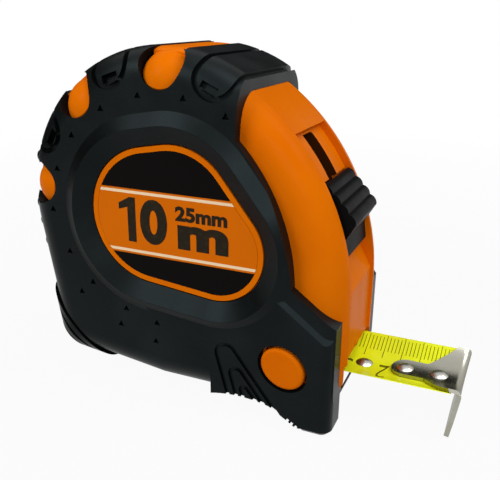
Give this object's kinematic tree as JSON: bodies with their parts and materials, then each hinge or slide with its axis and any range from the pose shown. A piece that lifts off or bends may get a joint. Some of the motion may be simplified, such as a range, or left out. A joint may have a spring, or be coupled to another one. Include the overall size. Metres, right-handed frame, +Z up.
{
  "type": "tape measure",
  "caption": "Pocket tape measure: sprung steel blade with an end hook in a plastic case with a rubber jacket, a thumb lock, a stop button and a belt clip.",
  "frame": {"origin": "below the middle of the whole tool, on the plane that its soles rest on", "axes": "+X out of the mouth along the blade, +Y from the label side to the clip side, +Z up"},
  "size_m": [0.1196, 0.0532, 0.0937],
  "materials": {
    "case_plastic": "gloss orange",
    "jacket_rubber": "satin black",
    "label_print": "printed film",
    "blade_lacquer": "gloss yellow lacquer",
    "bright_steel": "bright nickel",
    "plain_steel": "plain",
    "drum_plastic": "moulded",
    "lock_plastic": "moulded black"
  },
  "bodies": {
    "case": {"case_left": "case_plastic", "case_right": "case_plastic", "jacket_left": "jacket_rubber", "jacket_right": "jacket_rubber", "label_plate": "label_print", "axle": "plain_steel", "mouth_bumper": "jacket_rubber", "case_screws": "plain_steel", "belt_clip": "plain_steel", "clip_screw": "plain_steel", "button_spring": "plain_steel"},
    "reel": {"reel_drum": "drum_plastic", "drum_cover": "drum_plastic", "power_spring": "plain_steel", "blade_coil": "blade_lacquer"},
    "blade": {"blade_run": "blade_lacquer", "blade_backing": "plain_steel", "hook_rivets": "bright_steel", "tail_rivet": "bright_steel"},
    "hook": {"end_hook": "bright_steel"},
    "lock": {"thumb_lock": "lock_plastic", "lock_slider": "lock_plastic", "lock_tip": "jacket_rubber"},
    "button": {"stop_button": "case_plastic", "brake_pad": "jacket_rubber"}
  },
  "joints": [
    {"name": "reel_spin", "type": "hinge", "parent": "case", "child": "reel", "pos_m": [-0.01795, -0.00329, 0.0523], "axis": [0, -1, 0], "range_deg": [-55.4, 55.4]},
    {"name": "blade_slide", "type": "slide", "parent": "case", "child": "blade", "axis": [1, 0, 0], "range_m": [-0.03, 0.03]},
    {"name": "hook_play", "type": "slide", "parent": "blade", "child": "hook", "axis": [1, 0, 0], "range_m": [-0.001, 0]},
    {"name": "thumb_lock", "type": "hinge", "parent": "case", "child": "lock", "pos_m": [-0.03165, -0.00329, 0.03199], "axis": [0, 1, 0], "range_deg": [-8.3, 1]},
    {"name": "stop_button", "type": "slide", "parent": "case", "child": "button", "axis": [0, 1, 0], "range_m": [0, 0.0014], "stiffness_N_per_m": 600, "deforming": ["button_spring"]}
  ],
  "couplings": [
    {"joint": "blade_slide", "follows": "reel_spin", "m_per_rad": 0.031}
  ]
}
